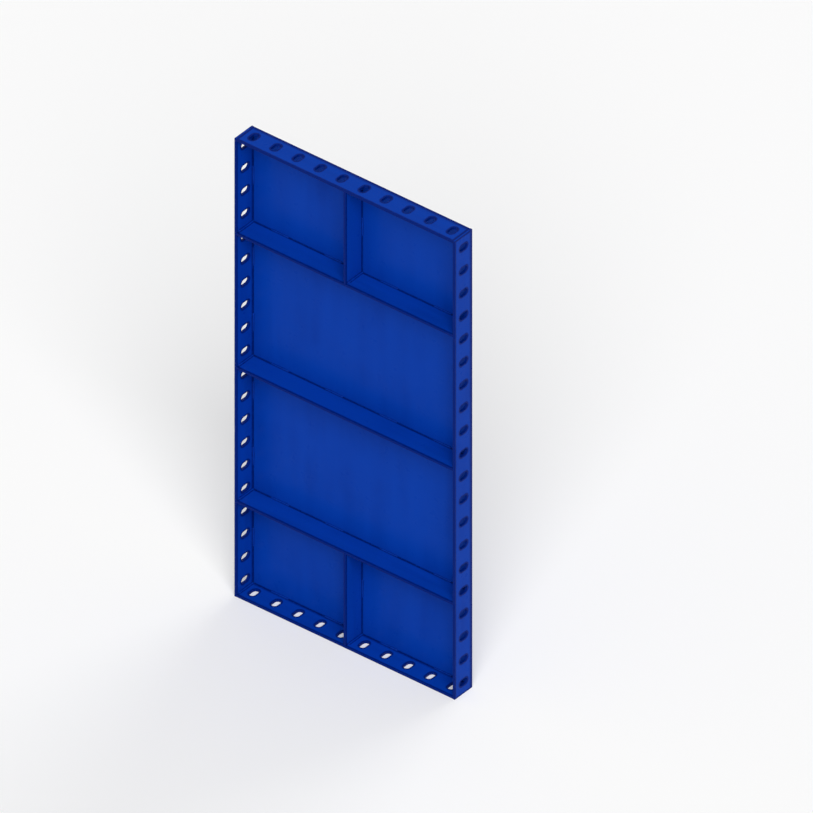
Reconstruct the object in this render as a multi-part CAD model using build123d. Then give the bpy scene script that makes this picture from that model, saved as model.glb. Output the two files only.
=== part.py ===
"""A welded steel formwork panel for casting concrete walls.

Four slotted flat-bar edge straps frame a thin casting sheet. Three cross ribs and two
short stub ribs stiffen the sheet from behind, and stitches of fillet weld hold it all.

The panel stands on a short edge: +Z is up, +Y is the casting side, -Y the ribbed side,
and the origin is the centre of the underside. Lengths are in millimetres.
"""

import os
from typing import NamedTuple

from build123d import *

# The whole panel
panel_width = 500.0
panel_height = 1000.0
frame_depth = 50.0  # front rim to casting face

# Stock
strap_thickness = 5.0
sheet_thickness = 2.5
rib_thickness = 5.0
stub_thickness = 5.0
bar_edge_radius = 0.8  # rolled arris on the free long edges of every bar

# Rib layout
end_bay_height = 200.0  # clear height from a short strap to its nearest cross rib

# Pin slots, long axis across the strap
slot_length = 22.0
slot_width = 13.0
slot_pitch = 50.0
slot_end_distance = 25.0  # the least from a panel corner to the first slot's centre
slot_face_distance = 25.0  # casting face to the slots' centre line

# Fillet welds
stitch_leg = 3.0
stitch_length = 40.0
stitch_spacing = 110.0  # the most seam length that one stitch serves
corner_leg = 4.0
corner_rim_gap = 6.0  # a corner bead stops this far short of the front rim
bead_crown = 0.35  # how far a bead's face stands proud of a flat chamfer

# Planes that the pieces share
rim_y = -frame_depth / 2
casting_y = frame_depth / 2
sheet_y = casting_y - sheet_thickness
half_width = panel_width / 2
inner_half_width = half_width - strap_thickness
inner_bottom = strap_thickness
inner_top = panel_height - strap_thickness
middle_z = panel_height / 2
rib_depth = sheet_y - rim_y

# Clear faces of the cross ribs, from the foot up
lower_rib_bottom = inner_bottom + end_bay_height
lower_rib_top = lower_rib_bottom + rib_thickness
middle_rib_bottom = middle_z - rib_thickness / 2
middle_rib_top = middle_z + rib_thickness / 2
upper_rib_top = inner_top - end_bay_height
upper_rib_bottom = upper_rib_top - rib_thickness


class Bay(NamedTuple):
    """A clear rectangle of the sheet, between four upright faces."""

    left: float
    right: float
    bottom: float
    top: float


# ---------------------------------------------------------------- bars and sheet


def bar_section(thickness, depth, round_outer_back):
    """Section of a flat bar, thickness along X and depth along Y, with rolled arrises.

    The two corners at the front rim are rounded, and on an edge strap the outer (+X)
    corner at the back as well.
    """
    section = Rectangle(thickness, depth)
    by_depth = section.vertices().group_by(Axis.Y)
    corners = list(by_depth[0])
    if round_outer_back:
        corners.append(by_depth[-1].sort_by(Axis.X)[-1])
    radius = min(bar_edge_radius, 0.4 * thickness)
    return fillet(corners, radius)


def slot_places(edge_length):
    """Distances of the slots' centres from the middle of an edge of this length."""
    steps = int((edge_length - 2 * slot_end_distance) / slot_pitch + 1e-6)
    return [(i - steps / 2) * slot_pitch for i in range(steps + 1)]


def edge_strap(length, edge_length):
    """An edge strap along Z, outer face towards +X, punched with its row of slots.

    length is the bar's own; edge_length is that of the panel edge that it forms.
    """
    section = bar_section(strap_thickness, frame_depth, round_outer_back=True)
    bar = extrude(section, length / 2, both=True)
    across = casting_y - slot_face_distance
    outlines = Sketch() + [
        Plane.YZ * Pos(across, place) * SlotOverall(slot_length, slot_width)
        for place in slot_places(edge_length)
    ]
    return bar - extrude(outlines, strap_thickness, both=True)


def side_strap():
    """The right-hand strap, which runs the full height of the panel."""
    middle = half_width - strap_thickness / 2
    return Pos(middle, 0, middle_z) * edge_strap(panel_height, panel_height)


def short_strap():
    """The top strap, fitted between the side straps."""
    strap = Rot(0, -90, 0) * edge_strap(2 * inner_half_width, panel_width)
    return Pos(0, 0, panel_height - strap_thickness / 2) * strap


def rib(length, thickness):
    """A plain rib along Z, from the sheet to the front rim."""
    section = bar_section(thickness, rib_depth, round_outer_back=False)
    return Pos(0, rim_y + rib_depth / 2, 0) * extrude(section, length / 2, both=True)


def cross_rib(bottom):
    """A rib from side strap to side strap, with its underside at this height."""
    lying = Rot(0, 90, 0) * rib(2 * inner_half_width, rib_thickness)
    return Pos(0, 0, bottom + rib_thickness / 2) * lying


def stub_rib(bottom, top):
    """A short upright rib at mid-width."""
    return Pos(0, 0, (bottom + top) / 2) * rib(top - bottom, stub_thickness)


def face_sheet():
    """The casting sheet, let in flush with the back edges of the straps."""
    outline = Plane.XZ * Pos(0, middle_z) * Rectangle(2 * inner_half_width, inner_top - inner_bottom)
    return Pos(0, casting_y, 0) * extrude(outline, sheet_thickness)


# ---------------------------------------------------------------- welds


def bead(corner, first, second, leg, length):
    """A fillet bead centred on a point of its seam.

    first and second are the directions that lead out of the seam along its two faces.
    """
    proud = leg / 2 + bead_crown / 2**0.5
    face = ThreePointArc((leg, 0), (proud, proud), (0, leg))
    outline = make_face([Line((0, 0), (leg, 0)), face, Line((0, leg), (0, 0))])
    along = Vector(*first).cross(Vector(*second))
    place = Plane(origin=corner, x_dir=first, z_dir=along)
    return place * extrude(outline, length / 2, both=True)


def stitch_places(start, end):
    """The centres of the stitches that share the seam between two corners."""
    count = max(1, int((end - start) / stitch_spacing))
    share = (end - start) / count
    return [start + (i + 0.5) * share for i in range(count)]


def upright_stitches(bay, x):
    """Stitches up the left or the right side of a bay, on the sheet."""
    inward = 1 if x == bay.left else -1
    return [
        bead((x, sheet_y, z), (inward, 0, 0), (0, -1, 0), stitch_leg, stitch_length)
        for z in stitch_places(bay.bottom, bay.top)
    ]


def level_stitches(bay, z):
    """Stitches along the bottom or the top of a bay, on the sheet."""
    inward = 1 if z == bay.bottom else -1
    return [
        bead((x, sheet_y, z), (0, 0, inward), (0, -1, 0), stitch_leg, stitch_length)
        for x in stitch_places(bay.left, bay.right)
    ]


def corner_bead(bay, x, z):
    """A bead down one corner of a bay, from the sheet nearly to the front rim."""
    length = rib_depth - corner_rim_gap
    across = 1 if x == bay.left else -1
    upward = 1 if z == bay.bottom else -1
    middle = (x, sheet_y - length / 2, z)
    return bead(middle, (across, 0, 0), (0, 0, upward), corner_leg, length)


def cross_rib_welds(below, above):
    """The welds of a cross rib to the sheet and to both side straps."""
    beads = []
    for bay in below:
        beads += level_stitches(bay, bay.top)
    for bay in above:
        beads += level_stitches(bay, bay.bottom)
    for side in (-inner_half_width, inner_half_width):
        beads += [corner_bead(bay, side, bay.top) for bay in below if side in bay[:2]]
        beads += [corner_bead(bay, side, bay.bottom) for bay in above if side in bay[:2]]
    return beads


def stub_rib_welds(left_bay, right_bay):
    """The welds of a stub rib to the sheet, the short strap and the cross rib."""
    beads = upright_stitches(left_bay, left_bay.right)
    beads += upright_stitches(right_bay, right_bay.left)
    for z in (left_bay.bottom, left_bay.top):
        beads.append(corner_bead(left_bay, left_bay.right, z))
        beads.append(corner_bead(right_bay, right_bay.left, z))
    return beads


# ---------------------------------------------------------------- the panel


def end_bays(bottom, top):
    """The pair of bays on either side of a stub rib."""
    stub = stub_thickness / 2
    left = Bay(-inner_half_width, -stub, bottom, top)
    right = Bay(stub, inner_half_width, bottom, top)
    return [left, right]


def plates():
    """The sheet, the straps and the ribs, by name."""
    right, top = side_strap(), short_strap()
    return {
        "face_sheet": face_sheet(),
        "left_edge_strap": mirror(right, Plane.YZ),
        "right_edge_strap": right,
        "top_edge_strap": top,
        "bottom_edge_strap": Pos(0, 0, middle_z) * mirror(Pos(0, 0, -middle_z) * top, Plane.XY),
        "upper_cross_rib": cross_rib(upper_rib_bottom),
        "middle_cross_rib": cross_rib(middle_rib_bottom),
        "lower_cross_rib": cross_rib(lower_rib_bottom),
        "top_stub_rib": stub_rib(upper_rib_top, inner_top),
        "bottom_stub_rib": stub_rib(inner_bottom, lower_rib_bottom),
    }


def welds():
    """The beads of each joint, by name."""
    foot = end_bays(inner_bottom, lower_rib_bottom)
    lower = [Bay(-inner_half_width, inner_half_width, lower_rib_top, middle_rib_bottom)]
    upper = [Bay(-inner_half_width, inner_half_width, middle_rib_top, upper_rib_bottom)]
    head = end_bays(upper_rib_top, inner_top)
    left_side = [foot[0], *lower, *upper, head[0]]
    right_side = [foot[1], *lower, *upper, head[1]]
    return {
        "corner_welds": [
            corner_bead(foot[0], foot[0].left, inner_bottom),
            corner_bead(foot[1], foot[1].right, inner_bottom),
            corner_bead(head[0], head[0].left, inner_top),
            corner_bead(head[1], head[1].right, inner_top),
        ],
        "left_edge_welds": [b for bay in left_side for b in upright_stitches(bay, bay.left)],
        "right_edge_welds": [b for bay in right_side for b in upright_stitches(bay, bay.right)],
        "top_edge_welds": [b for bay in head for b in level_stitches(bay, bay.top)],
        "bottom_edge_welds": [b for bay in foot for b in level_stitches(bay, bay.bottom)],
        "upper_rib_welds": cross_rib_welds(upper, head),
        "middle_rib_welds": cross_rib_welds(lower, upper),
        "lower_rib_welds": cross_rib_welds(foot, lower),
        "top_stub_welds": stub_rib_welds(*head),
        "bottom_stub_welds": stub_rib_welds(*foot),
    }


os.makedirs("parts", exist_ok=True)
for name, plate in plates().items():
    export_step(plate, f"parts/{name}.step")
for name, beads in welds().items():
    export_step(Compound(children=beads), f"parts/{name}.step")
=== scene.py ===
import math
from typing import NamedTuple

import bmesh
import bpy
from mathutils import Matrix, Vector, noise


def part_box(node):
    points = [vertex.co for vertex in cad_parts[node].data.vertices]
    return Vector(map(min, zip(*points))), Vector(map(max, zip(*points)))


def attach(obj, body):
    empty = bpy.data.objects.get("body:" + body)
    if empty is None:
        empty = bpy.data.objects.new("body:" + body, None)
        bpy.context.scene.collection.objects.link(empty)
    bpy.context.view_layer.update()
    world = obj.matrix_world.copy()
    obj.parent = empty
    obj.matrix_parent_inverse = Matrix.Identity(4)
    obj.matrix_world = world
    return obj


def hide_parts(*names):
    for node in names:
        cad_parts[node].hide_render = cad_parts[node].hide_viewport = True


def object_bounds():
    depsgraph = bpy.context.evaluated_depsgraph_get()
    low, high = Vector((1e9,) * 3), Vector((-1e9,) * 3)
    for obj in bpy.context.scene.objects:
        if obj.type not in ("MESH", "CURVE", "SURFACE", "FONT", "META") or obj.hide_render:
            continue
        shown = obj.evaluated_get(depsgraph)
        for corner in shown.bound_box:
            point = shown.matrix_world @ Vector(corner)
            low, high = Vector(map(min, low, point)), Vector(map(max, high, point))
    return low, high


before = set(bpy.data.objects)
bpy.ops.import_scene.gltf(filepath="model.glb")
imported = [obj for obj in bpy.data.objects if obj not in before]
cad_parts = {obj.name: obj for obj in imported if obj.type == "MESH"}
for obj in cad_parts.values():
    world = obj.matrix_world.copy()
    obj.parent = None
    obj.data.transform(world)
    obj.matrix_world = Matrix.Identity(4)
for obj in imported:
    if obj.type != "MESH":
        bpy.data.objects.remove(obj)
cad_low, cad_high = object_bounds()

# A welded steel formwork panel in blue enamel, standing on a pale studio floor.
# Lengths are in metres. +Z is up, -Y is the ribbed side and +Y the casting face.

WELD_NODES = sorted(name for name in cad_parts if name.endswith("_welds"))

# How the CAD meshes are read
MERGE_DISTANCE = 1e-6
FLAT_ANGLE = math.radians(0.5)  # faces that meet at less than this are one flat
CORNER_ANGLE = math.radians(30)  # an edge that turns by more than this is sharp
SQUARE = 0.99999  # a face is square to an axis if this much of its normal lies along it

# Eased edges
CUT_EASE = 0.0004  # sawn bar ends and punched slots
SHEET_EASE = 0.0008  # the sheared edges of the sheet
EASE_SEGMENTS = 2

# Where the enamel lies thin or is darkened as painted shade, from 0, whole, to 1: thin along
# rubbed edges, painted shade in the slots, the sheet's seams and the toes of beads
WEAR_AND_SHADE = "wear_and_painted_shade"
THIN_BAND = 0.0015  # how far in from the edges of rims and bar ends, and from the sheet's seams
RUBBED_BAND = 0.004  # how far in from the edges of rims and bar ends the enamel is thin, and how far from the sheet's seams the painted shade reaches
RIM_THINNESS = 0.8  # inside the band of a front rim, which rubs when panels are stacked
CASTING_WEAR = 0.009  # how far in from its casting edge a strap is rubbed
SEAM_PAINTED_SHADE = 0.4  # how dark the painted shade is in the seams of the sheet's ribbed side
TOE_SHADE_FALLOFF = 0.8  # the higher, the closer the painted shade keeps to the toes of a bead

# The sheet bows a little into each bay, away from the concrete
SHEET_BOW = 0.0015
SHEET_STEP = 0.0165  # about the side of the squares that its mesh is cut into

# Each stitch leaves a shallow mark on the casting face
MARK_DEPTH = 0.0006
MARK_REACH = 0.008
MARK_END = 2  # this many reaches from a stitch, its mark is too faint to count
MARK_CUTS = (0.005, 0.009, 0.014)  # from a seam, to give the marks their shape

# Weld beads; depths are shares of a bead's size
BEAD_FACE_STEPS = 6
BEAD_CROWN = 0.35  # 0 is a flat chamfer and 1 a full quarter round
BEAD_SINK = 0.0004  # how far a bead's root is fused into the plates
BEAD_START = 0.0022  # the length over which a bead swells to its full size
BEAD_STOP = 0.0036  # and over which it runs out
BEAD_TIP = 0.2  # what is left of the bead's size at its very end
CRATER_PLACE = 0.0042  # from the end where the bead stops
CRATER_LENGTH = 0.0024
CRATER_DEPTH = 0.16
RIPPLE_PITCH = 0.0015
RIPPLE_DEPTH = 0.045
RIPPLE_BOW = 0.0013  # how far a ripple's middle runs ahead of its toes
RIPPLE_DRIFT = 0.0009
RINGS_PER_RIPPLE = 4
LUMP_DEPTH = 0.16

# The noise that makes beads uneven: its scales, and places in it that lie well apart
LUMP_SCALE = 150.0
LUMP_SCALE_ACROSS = 1.5
RIPPLE_DEPTH_SCALE = 500.0
DRIFT_PLACE = 5
RIPPLE_DEPTH_PLACE = 9
BEAD_SPACING = 7.3

# Enamel, as linear colour
ENAMEL_BLUE = (0.0014, 0.0430, 0.362)
ENAMEL_DEEP = (0.0010, 0.0340, 0.305)  # streaks along the grain
ENAMEL_WORN_AND_SHADED = (0.0002, 0.0125, 0.155)  # where it is rubbed and the dark steel shows through, and as painted shade in slots, seams and bead toes
ENAMEL_ROUGHNESS = (0.26, 0.40)
ENAMEL_SPECULAR = 0.03

# Patterns in the enamel: how fine each is, how strong, and how deep its relief
NOISE_MIDDLE = (0.3, 0.7)  # most of a noise pattern lies between these
DRIFT_SCALE = 9
BREAK_SCALE = 160
BREAK_STRENGTH = (1.3, 2.4)  # what the mark of thin enamel and painted shade is multiplied by, so that its edge is broken
SHEEN_SCALE = 60
WAVE_SCALE = 110
WAVE_DEPTH = 0.00022
PEEL_SCALE = 480
PEEL_DEPTH = 0.00004

# The grain of each stock: its noise scales along X, Y and Z, and its depth
UPRIGHT_BAR_GRAIN = (70, 70, 4), 0.00012
LEVEL_BAR_GRAIN = (4, 70, 70), 0.00012
SHEET_GRAIN = (28, 28, 3), 0.00020
BEAD_GRAIN = (300, 300, 300), 0.00004

# The studio
FLOOR_REACH = 15.0  # from its middle to its sides
FLOOR_WHITE = 0.8
FLOOR_ROUGHNESS = 0.9
FLOOR_LIFT = 0.17  # what the floor lacks of white where nothing shades it
WORLD_LIGHT = 0.3
SOFTBOX_ANGLE = math.radians(40)
KEY_PLACE = (2.0, -2.3, 2.6)
KEY_LIGHT = 2.75
FILL_PLACE = (0, 2.6, 1.2)
FILL_LIGHT = 0.9

# The view
VIEW_AZIMUTH = math.radians(38.74)
VIEW_ELEVATION = math.radians(35.94)
VIEW_WIDTH = 1.4377  # across the whole frame
VIEW_DISTANCE = 4.0
AIM_RIGHT = 0.0940  # the view is aimed this far to the right of the panel's middle
AIM_UP = 0.01085  # and this far above it


# ---------------------------------------------------------------- mesh helpers


def finished_piece(bm, name, material, node):
    """Makes a piece of a bmesh, in place of the CAD node that it stands for."""
    mesh = bpy.data.meshes.new(name)
    bm.to_mesh(mesh)
    bm.free()
    mesh.materials.append(material)
    piece = bpy.data.objects.new(name, mesh)
    bpy.context.scene.collection.objects.link(piece)
    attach(piece, "root")
    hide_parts(node)


def welded_copy(node):
    """A CAD node's mesh with its loose triangles joined."""
    bm = bmesh.new()
    bm.from_mesh(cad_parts[node].data)
    bmesh.ops.remove_doubles(bm, verts=bm.verts, dist=MERGE_DISTANCE)
    return bm


def merged_copy(node):
    """The same, with each flat made one face."""
    bm = welded_copy(node)
    bmesh.ops.dissolve_limit(bm, angle_limit=FLAT_ANGLE, verts=bm.verts, edges=bm.edges)
    return bm


def ease_edges(bm, width):
    """Rounds every sharp edge of a plate."""
    sharp = [
        edge for edge in bm.edges
        if edge.is_manifold and edge.calc_face_angle() > CORNER_ANGLE
    ]
    bmesh.ops.bevel(
        bm, geom=sharp, offset=width, offset_type="OFFSET", affect="EDGES",
        segments=EASE_SEGMENTS, profile=0.5, material=-1, clamp_overlap=True,
    )


def is_flat(face):
    """Whether a face lies square to the panel."""
    return max(abs(value) for value in face.normal) > SQUARE


def everything(bm):
    """All that a mesh is made of."""
    return [*bm.verts, *bm.edges, *bm.faces]


def cut_across(bm, geometry, axis, place):
    """Cuts part of a mesh square to an axis."""
    point = Vector((0, 0, 0))
    normal = Vector((0, 0, 0))
    point[axis] = place
    normal[axis] = 1
    bmesh.ops.bisect_plane(
        bm, geom=geometry, dist=MERGE_DISTANCE, plane_co=point, plane_no=normal,
    )


def corners_of_box(points):
    """The lowest and the highest corner of the box round some points."""
    low = Vector([min(point[axis] for point in points) for axis in range(3)])
    high = Vector([max(point[axis] for point in points) for axis in range(3)])
    return low, high


# ---------------------------------------------------------------- bars


def mark_wear_and_shade(bm):
    """Marks how thin the enamel lies on a bar: fully along its edges, where it is rubbed, and as
    painted shade on the walls of its slots.
    """
    wear_and_shade = bm.verts.layers.float.new(WEAR_AND_SHADE)
    for vert in bm.verts:
        vert[wear_and_shade] = 1
    low, high = corners_of_box([vert.co for vert in bm.verts])
    length = max(range(3), key=lambda axis: high[axis] - low[axis])
    thin_the_sides(bm, wear_and_shade, low, high, length)
    thin_the_ends(bm, wear_and_shade, low, high, length)


def on_skin(point, low, high, axes):
    """Whether a point lies on one of these sides of a box."""
    return any(
        min(point[axis] - low[axis], high[axis] - point[axis]) < MERGE_DISTANCE
        for axis in axes
    )


def thin_the_sides(bm, wear_and_shade, low, high, length):
    """Rings the long sides of a bar with a band, inside which the enamel is thicker."""
    bm.normal_update()
    across = [axis for axis in range(3) if axis != length]
    sides = [
        face for face in bm.faces
        if is_flat(face) and on_skin(face.calc_center_median(), low, high, across)
    ]
    rims = [face for face in sides if abs(face.normal.y) > 0.5]
    broad = [face for face in sides if abs(face.normal.y) < 0.5]
    for faces, band in ((rims, THIN_BAND), (broad, RUBBED_BAND)):
        bmesh.ops.inset_region(
            bm, faces=faces, thickness=band, use_boundary=True, use_even_offset=True,
        )
    for face in sides:
        is_front_rim = face.normal.y < -0.5
        for vert in face.verts:
            vert[wear_and_shade] = RIM_THINNESS if is_front_rim else 0


def thin_the_ends(bm, wear_and_shade, low, high, length):
    """Does the same for a bar's two ends, by cuts, as their corners are too round to inset."""
    across = [axis for axis in range(3) if axis != length]
    reach = CUT_EASE + THIN_BAND
    for axis in across:
        for place in (low[axis] + reach, high[axis] - reach):
            ends = [
                face for face in bm.faces
                if on_skin(face.calc_center_median(), low, high, [length])
            ]
            edges = {edge for face in ends for edge in face.edges}
            verts = {vert for face in ends for vert in face.verts}
            cut_across(bm, [*verts, *edges, *ends], axis, place)
    for vert in bm.verts:
        inset = min(min(vert.co[axis] - low[axis], high[axis] - vert.co[axis]) for axis in across)
        if on_skin(vert.co, low, high, [length]) and inset > reach - MERGE_DISTANCE:
            vert[wear_and_shade] = 0


def rub_the_casting_edge(bm):
    """Wears the enamel of a strap thinner and thinner towards the edge at the concrete."""
    wear_and_shade = bm.verts.layers.float[WEAR_AND_SHADE]
    edge = max(vert.co.y for vert in bm.verts)
    cut_across(bm, everything(bm), 1, edge - CASTING_WEAR)
    for vert in bm.verts:
        vert[wear_and_shade] = max(vert[wear_and_shade], 1 - (edge - vert.co.y) / CASTING_WEAR)


def smooth_the_rounds(bm):
    """Shades the rounded edges smooth and leaves the flats flat."""
    bm.normal_update()
    for face in bm.faces:
        face.smooth = not is_flat(face)


def eased_bar(node):
    """A bar with its cut edges eased, its enamel thin along them, and painted shade on the walls
    of its slots.
    """
    bm = merged_copy(node)
    ease_edges(bm, CUT_EASE)
    mark_wear_and_shade(bm)
    return bm


def strap(side, material):
    """One of the four slotted straps of the frame."""
    node = f"{side}_edge_strap"
    bm = eased_bar(node)
    rub_the_casting_edge(bm)
    smooth_the_rounds(bm)
    finished_piece(bm, f"{side}_strap", material, node)


def rib(node, name, material):
    """A cross rib or a stub rib."""
    bm = eased_bar(node)
    smooth_the_rounds(bm)
    finished_piece(bm, name, material, node)


# ---------------------------------------------------------------- the sheet


def spans(start, end, bars, axis):
    """The clear lengths between start and end that the bars leave along an axis."""
    cuts = sorted((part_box(bar)[0][axis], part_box(bar)[1][axis]) for bar in bars)
    edges = [start] + [edge for cut in cuts for edge in cut] + [end]
    return list(zip(edges[::2], edges[1::2]))


def sheet_bays():
    """The bays of the sheet, as (left, right, bottom, top)."""
    low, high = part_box("face_sheet")
    ribs = ["lower_cross_rib", "middle_cross_rib", "upper_cross_rib"]
    rows = spans(low.z, high.z, ribs, 2)
    whole = [(low.x, high.x)]
    foot = spans(low.x, high.x, ["bottom_stub_rib"], 0)
    head = spans(low.x, high.x, ["top_stub_rib"], 0)
    columns = [foot, whole, whole, head]
    return [(*column, *row) for row, across in zip(rows, columns) for column in across]


def inside(x, z, bays):
    """How far inside its bay a point is, from the left, right, bottom and top, or zeros."""
    for left, right, bottom, top in bays:
        if left < x < right and bottom < z < top:
            return x - left, right - x, z - bottom, top - z
    return 0, 0, 0, 0


def bow(x, z, bays):
    """How far the sheet is bowed at a point, from 0 at the ribs to 1 in mid-bay."""
    left, right, bottom, top = inside(x, z, bays)
    if not left:
        return 0
    return math.sin(math.pi * left / (left + right)) * math.sin(math.pi * bottom / (bottom + top))


def sheet_cuts(start, end, seams):
    """Where the sheet's mesh is cut along an axis: in even steps, and beside each seam."""
    steps = round((end - start) / SHEET_STEP)
    even = [start + (end - start) * i / steps for i in range(1, steps)]
    reaches = [SHEET_EASE, SHEET_EASE + THIN_BAND, *MARK_CUTS]
    beside = [seam + side * reach for seam in seams for side in (-1, 1) for reach in reaches]
    return [place for place in even + beside if start < place < end]


def sheet_stitches():
    """The middle, direction and half length of every stitch that lies on the sheet."""
    stitches = []
    for node in WELD_NODES:
        for seat in map(bead_seat, loose_solids(node)):
            half = seat.length / 2
            if not seat.along.y:
                stitches.append((seat.start + seat.along * half, seat.along, half))
    return stitches


def stitch_mark(x, z, stitches):
    """How strongly the stitches have marked the casting face at a point."""
    mark = 0
    for middle, along, half in stitches:
        offset = Vector((x - middle.x, 0, z - middle.z))
        if offset.length < half + MARK_END * MARK_REACH:
            run = max(-half, min(half, offset.dot(along)))
            mark += math.exp(-((offset - along * run).length / MARK_REACH) ** 2)
    return mark


def casting_sheet(material):
    """The thin sheet, with eased edges, a slight bow in every bay and the stitches' marks."""
    low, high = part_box("face_sheet")
    bays = sheet_bays()
    bm = merged_copy("face_sheet")
    ease_edges(bm, SHEET_EASE)
    for place in sheet_cuts(low.x, high.x, {side for bay in bays for side in bay[:2]}):
        cut_across(bm, everything(bm), 0, place)
    for place in sheet_cuts(low.z, high.z, {side for bay in bays for side in bay[2:]}):
        cut_across(bm, everything(bm), 2, place)
    wear_and_shade = bm.verts.layers.float.new(WEAR_AND_SHADE)
    whole = [(low.x, high.x, low.z, high.z)]
    stitches = sheet_stitches()
    for vert in bm.verts:
        x, y, z = vert.co
        ribbed = y < (low.y + high.y) / 2
        # Painted shade: the sheet darkens towards the seams where it meets the ribs and straps,
        # on both faces, less so on the ribbed side
        edge = min(inside(x, z, bays if ribbed else whole))
        most = SEAM_PAINTED_SHADE if ribbed else 1
        vert[wear_and_shade] = most * max(0, min(1, 1 - (edge - SHEET_EASE) / THIN_BAND))
        vert.co.y -= SHEET_BOW * bow(x, z, bays)
        if not ribbed:
            vert.co.y -= MARK_DEPTH * stitch_mark(x, z, stitches)
    for face in bm.faces:
        face.smooth = True
    finished_piece(bm, "casting_sheet", material, "face_sheet")


# ---------------------------------------------------------------- welds


def loose_solids(node):
    """The corner lists of the separate solids in a CAD node."""
    bm = welded_copy(node)
    waiting = set(bm.verts)
    solids = []
    while waiting:
        reached = [waiting.pop()]
        for vert in reached:
            near = {edge.other_vert(vert) for edge in vert.link_edges} & waiting
            waiting -= near
            reached.extend(near)
        solids.append([vert.co.copy() for vert in reached])
    bm.free()
    return sorted(solids, key=lambda solid: min(tuple(co) for co in solid))


class Seat(NamedTuple):
    """Where a bead lies, with the directions that lead out of its seam along the two faces."""

    start: Vector
    first: Vector
    second: Vector
    along: Vector
    leg: float
    length: float


def bead_seat(solid):
    """The seat of a bead, read from the corners of its CAD solid."""
    low, high = corners_of_box(solid)
    size = high - low
    seam = max(range(3), key=lambda axis: size[axis])
    sides = [axis for axis in range(3) if axis != seam]
    middle = sum(solid, Vector()) / len(solid)
    start = low.copy()
    directions = []
    for axis in sides:
        away = Vector((0, 0, 0))
        away[axis] = 1 if middle[axis] < (low[axis] + high[axis]) / 2 else -1
        if away[axis] < 0:
            start[axis] = high[axis]
        directions.append(away)
    along = directions[0].cross(directions[1])
    if along[seam] < 0:
        start[seam] = high[seam]
    return Seat(start, *directions, along, size[sides[0]], size[seam])


def bead_section(bm, leg):
    """The section of a fillet bead: its root, and a crowned face from toe to toe."""
    corners = [bm.verts.new((0, 0, 0))]
    for i in range(BEAD_FACE_STEPS + 1):
        turn = i / BEAD_FACE_STEPS * math.pi / 2
        chamfer = 1 / (math.cos(turn) + math.sin(turn))
        reach = leg * (chamfer + BEAD_CROWN * (1 - chamfer))
        corners.append(bm.verts.new((reach * math.cos(turn), reach * math.sin(turn), 0)))
    return bm.faces.new(corners)


def arch(share):
    """0 at the two ends of a span, and 1 in its middle."""
    return 4 * share * (1 - share)


def bead_scale(along, across, length, seed):
    """How much a bead swells or shrinks at a point of its face."""
    to_end = max(0, min(along / BEAD_START, (length - along) / BEAD_STOP, 1))
    end = BEAD_TIP + (1 - BEAD_TIP) * math.sqrt(1 - (1 - to_end) ** 2)
    height = arch(across)
    from_crater = (length - along - CRATER_PLACE) / CRATER_LENGTH
    crater = CRATER_DEPTH * height * math.exp(-(from_crater ** 2))
    drift = RIPPLE_DRIFT * noise.noise(Vector((seed, along * LUMP_SCALE, DRIFT_PLACE)))
    ripple = arch((along + drift - RIPPLE_BOW * height) / RIPPLE_PITCH % 1)
    uneven = noise.noise(Vector((seed, along * RIPPLE_DEPTH_SCALE, RIPPLE_DEPTH_PLACE)))
    ripple *= RIPPLE_DEPTH * (1 + uneven)
    lump = noise.noise(Vector((seed, along * LUMP_SCALE, across * LUMP_SCALE_ACROSS)))
    return end * (1 - crater - ripple + LUMP_DEPTH * lump)


def add_bead(bm, solid, seed):
    """Adds one rippled bead in the place of a plain CAD bead."""
    seat = bead_seat(solid)
    bead = bmesh.new()
    section = bead_section(bead, seat.leg + BEAD_SINK)
    rings = round(seat.length / RIPPLE_PITCH * RINGS_PER_RIPPLE)
    bmesh.ops.spin(
        bead, geom=[section], cent=(0, 0, 0), axis=(0, 0, 1), dvec=(0, 0, seat.length / rings),
        angle=0, steps=rings, use_duplicate=False,
    )
    wear_and_shade = bead.verts.layers.float.new(WEAR_AND_SHADE)
    for vert in bead.verts:
        across = math.atan2(vert.co.y, vert.co.x) / (math.pi / 2)
        # Painted shade: a bead darkens from its crown towards its toes, where it meets the plates
        vert[wear_and_shade] = abs(2 * across - 1) ** TOE_SHADE_FALLOFF
        scale = bead_scale(vert.co.z, across, seat.length, seed)
        vert.co.x = vert.co.x * scale - BEAD_SINK
        vert.co.y = vert.co.y * scale - BEAD_SINK
    turn = Matrix((seat.first, seat.second, seat.along)).transposed().to_4x4()
    bmesh.ops.transform(bead, matrix=Matrix.Translation(seat.start) @ turn, verts=bead.verts)
    bmesh.ops.recalc_face_normals(bead, faces=bead.faces)
    mesh = bpy.data.meshes.new("one_bead")
    bead.to_mesh(mesh)
    bead.free()
    bm.from_mesh(mesh)
    bpy.data.meshes.remove(mesh)


def weld_run(node, material):
    """All the beads of one joint."""
    bm = bmesh.new()
    bm.verts.layers.float.new(WEAR_AND_SHADE)
    for number, solid in enumerate(loose_solids(node)):
        add_bead(bm, solid, seed=BEAD_SPACING * number + len(node))
    for face in bm.faces:
        face.smooth = True
    finished_piece(bm, node.replace("_welds", "_beads"), material, node)


# ---------------------------------------------------------------- finishes


def reckon(tree, operation, first, second, clamp=False):
    """Puts two values together, each a number or another node's output."""
    node = tree.nodes.new("ShaderNodeMath")
    node.operation = operation
    node.use_clamp = clamp
    for socket, value in zip(node.inputs, (first, second)):
        if isinstance(value, bpy.types.NodeSocket):
            tree.links.new(value, socket)
        else:
            socket.default_value = value
    return node.outputs["Value"]


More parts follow.
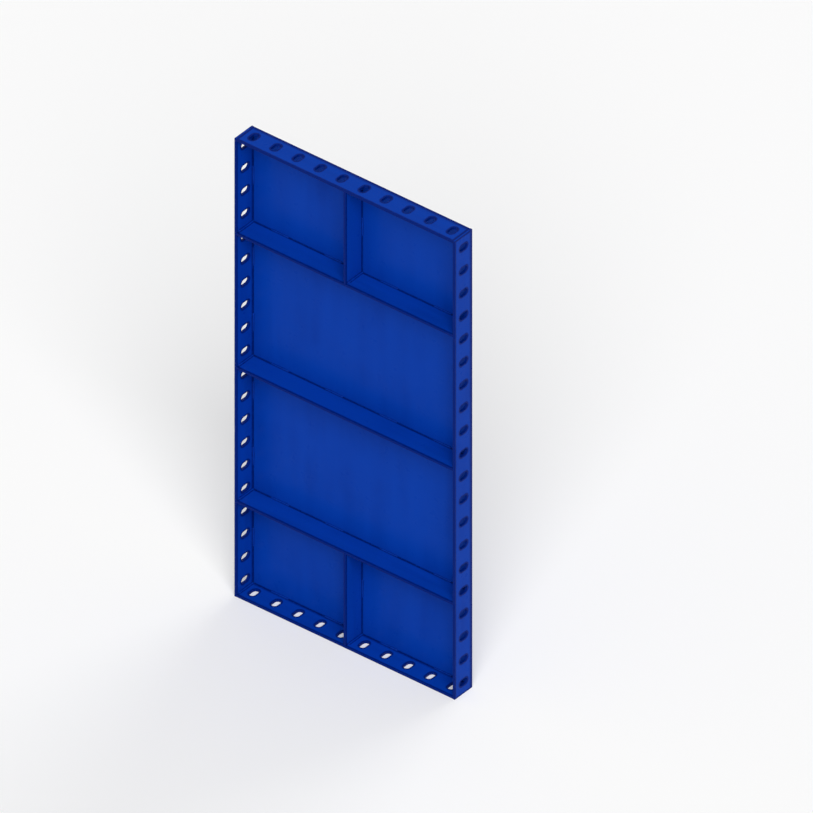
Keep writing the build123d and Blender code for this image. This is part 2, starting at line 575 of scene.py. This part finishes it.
class Finish:
    """A material under construction, with short calls for the nodes that it needs."""

    def __init__(self, name):
        self.material = bpy.data.materials.new(name)
        self.material.use_nodes = True
        self.tree = self.material.node_tree
        self.shader = self.tree.nodes["Principled BSDF"]
        self.coords = self.tree.nodes.new("ShaderNodeTexCoord").outputs["Object"]

    def stretched(self, scale):
        """Object coordinates, scaled along each axis."""
        mapping = self.tree.nodes.new("ShaderNodeMapping")
        mapping.inputs["Scale"].default_value = scale
        self.tree.links.new(self.coords, mapping.inputs["Vector"])
        return mapping.outputs["Vector"]

    def clouds(self, scale, detail, coords=None):
        """A noise pattern, from 0 to 1."""
        pattern = self.tree.nodes.new("ShaderNodeTexNoise")
        pattern.inputs["Scale"].default_value = scale
        pattern.inputs["Detail"].default_value = detail
        self.tree.links.new(coords or self.coords, pattern.inputs["Vector"])
        return pattern.outputs["Fac"]

    def marked(self, name):
        """An attribute of the mesh, from 0 to 1."""
        attribute = self.tree.nodes.new("ShaderNodeAttribute")
        attribute.attribute_name = name
        return attribute.outputs["Fac"]

    def spread(self, value, low, high):
        """Stretches the middle of a noise pattern over a range."""
        node = self.tree.nodes.new("ShaderNodeMapRange")
        names = ("From Min", "From Max", "To Min", "To Max")
        for name, limit in zip(names, (*NOISE_MIDDLE, low, high)):
            node.inputs[name].default_value = limit
        self.tree.links.new(value, node.inputs["Value"])
        return node.outputs["Result"]

    def blend(self, share, first, second):
        """Mixes two colours, each a tuple or another node's output."""
        node = self.tree.nodes.new("ShaderNodeMix")
        node.data_type = "RGBA"
        self.tree.links.new(share, node.inputs["Factor"])
        for socket, colour in (("A", first), ("B", second)):
            target = [s for s in node.inputs if s.name == socket and s.type == "RGBA"][0]
            if isinstance(colour, tuple):
                target.default_value = (*colour, 1)
            else:
                self.tree.links.new(colour, target)
        return [s for s in node.outputs if s.type == "RGBA"][0]

    def relief(self, height, depth, below=None):
        """Adds a bump of this depth over the one below it."""
        node = self.tree.nodes.new("ShaderNodeBump")
        node.inputs["Distance"].default_value = depth
        self.tree.links.new(height, node.inputs["Height"])
        if below:
            self.tree.links.new(below, node.inputs["Normal"])
        return node.outputs["Normal"]

    def use(self, socket, value):
        """Links a pattern to the shader, or sets a uniform value on it."""
        if isinstance(value, bpy.types.NodeSocket):
            self.tree.links.new(value, self.shader.inputs[socket])
        else:
            self.shader.inputs[socket].default_value = value


def enamel(name, grain, grain_depth):
    """Satin blue enamel on steel whose grain runs along the axis with the least scale."""
    finish = Finish(name)
    along_grain = finish.stretched(grain)
    passes = finish.spread(finish.clouds(1, detail=2, coords=along_grain), 0, 1)
    drift = finish.spread(finish.clouds(DRIFT_SCALE, detail=4), 0, 1)
    cover = finish.blend(passes, ENAMEL_DEEP, ENAMEL_BLUE)
    cover = finish.blend(drift, cover, ENAMEL_BLUE)
    broken = finish.spread(finish.clouds(BREAK_SCALE, detail=3), *BREAK_STRENGTH)
    # Painted shade and wear: the colour turns to the dark enamel where the mesh is marked, with
    # the mark's edge broken by noise
    wear_and_shade = reckon(finish.tree, "MULTIPLY", finish.marked(WEAR_AND_SHADE), broken, clamp=True)
    finish.use("Base Color", finish.blend(wear_and_shade, cover, ENAMEL_WORN_AND_SHADED))
    sheen = finish.clouds(SHEEN_SCALE, detail=5)
    finish.use("Roughness", finish.spread(sheen, *ENAMEL_ROUGHNESS))
    finish.use("Specular IOR Level", ENAMEL_SPECULAR)
    rolled = finish.relief(finish.clouds(1, detail=4, coords=along_grain), grain_depth)
    waves = finish.relief(finish.clouds(WAVE_SCALE, detail=2), WAVE_DEPTH, rolled)
    peel = finish.relief(finish.clouds(PEEL_SCALE, detail=1), PEEL_DEPTH, waves)
    finish.use("Normal", peel)
    return finish.material


# ---------------------------------------------------------------- studio


def seen_rays(tree, strength):
    """This strength for what is seen, straight, mirrored or through glass, and 0 for light."""
    path = tree.nodes.new("ShaderNodeLightPath")
    seen = path.outputs["Is Camera Ray"]
    for ray in ("Is Glossy Ray", "Is Transmission Ray"):
        seen = reckon(tree, "MAXIMUM", seen, path.outputs[ray])
    return reckon(tree, "MULTIPLY", seen, strength)


def studio_floor():
    """A pale floor that shows white where nothing shades it."""
    bm = bmesh.new()
    bmesh.ops.create_grid(bm, x_segments=1, y_segments=1, size=FLOOR_REACH)
    mesh = bpy.data.meshes.new("studio_floor")
    bm.to_mesh(mesh)
    bm.free()
    floor = bpy.data.objects.new("studio_floor", mesh)
    bpy.context.scene.collection.objects.link(floor)
    finish = Finish("studio_floor")
    finish.use("Base Color", (FLOOR_WHITE, FLOOR_WHITE, FLOOR_WHITE, 1))
    finish.use("Roughness", FLOOR_ROUGHNESS)
    finish.use("Specular IOR Level", 0)
    finish.use("Emission Color", (1, 1, 1, 1))
    finish.use("Emission Strength", seen_rays(finish.tree, FLOOR_LIFT))
    mesh.materials.append(finish.material)


def studio_world(strength):
    """Even white light from all round, which the camera sees as plain white."""
    world = bpy.data.worlds.new("studio_world")
    bpy.context.scene.world = world
    world.use_nodes = True
    tree = world.node_tree
    background = tree.nodes["Background"]
    background.inputs["Color"].default_value = (1, 1, 1, 1)
    brightest = reckon(tree, "MAXIMUM", seen_rays(tree, 1), strength)
    tree.links.new(brightest, background.inputs["Strength"])


def softbox(name, place, strength):
    """Even light from one side, as from a large softbox."""
    data = bpy.data.lights.new(name, "SUN")
    data.energy = strength
    data.angle = SOFTBOX_ANGLE
    lamp = bpy.data.objects.new(name, data)
    lamp.location = place
    lamp.rotation_euler = Vector(place).to_track_quat("Z", "Y").to_euler()
    bpy.context.scene.collection.objects.link(lamp)


def camera():
    """A parallel view from the front right, from above."""
    across = Vector((math.cos(VIEW_AZIMUTH), math.sin(VIEW_AZIMUTH), 0))
    back = Vector((
        math.sin(VIEW_AZIMUTH) * math.cos(VIEW_ELEVATION),
        -math.cos(VIEW_AZIMUTH) * math.cos(VIEW_ELEVATION),
        math.sin(VIEW_ELEVATION),
    ))
    upward = back.cross(across)
    aim = (cad_low + cad_high) / 2 + across * AIM_RIGHT + upward * AIM_UP
    data = bpy.data.cameras.new("camera")
    data.type = "ORTHO"
    data.ortho_scale = VIEW_WIDTH
    eye = bpy.data.objects.new("camera", data)
    eye.location = aim + back * VIEW_DISTANCE
    eye.rotation_euler = Matrix((across, upward, back)).transposed().to_euler()
    bpy.context.scene.collection.objects.link(eye)
    bpy.context.scene.camera = eye


# ---------------------------------------------------------------- the panel


upright_bar = enamel("enamel_upright_bar", *UPRIGHT_BAR_GRAIN)
level_bar = enamel("enamel_level_bar", *LEVEL_BAR_GRAIN)
sheet_enamel = enamel("enamel_sheet", *SHEET_GRAIN)
bead_enamel = enamel("enamel_bead", *BEAD_GRAIN)

casting_sheet(sheet_enamel)
for side in ("left", "right"):
    strap(side, upright_bar)
for side in ("top", "bottom"):
    strap(side, level_bar)
for place in ("upper", "middle", "lower"):
    rib(f"{place}_cross_rib", f"{place}_rib", level_bar)
for place in ("top", "bottom"):
    rib(f"{place}_stub_rib", f"{place}_stub", upright_bar)
for weld_node in WELD_NODES:
    weld_run(weld_node, bead_enamel)

studio_floor()
studio_world(WORLD_LIGHT)
softbox("key", KEY_PLACE, KEY_LIGHT)
softbox("fill", FILL_PLACE, FILL_LIGHT)
camera()

bpy.context.scene.view_settings.view_transform = "Standard"
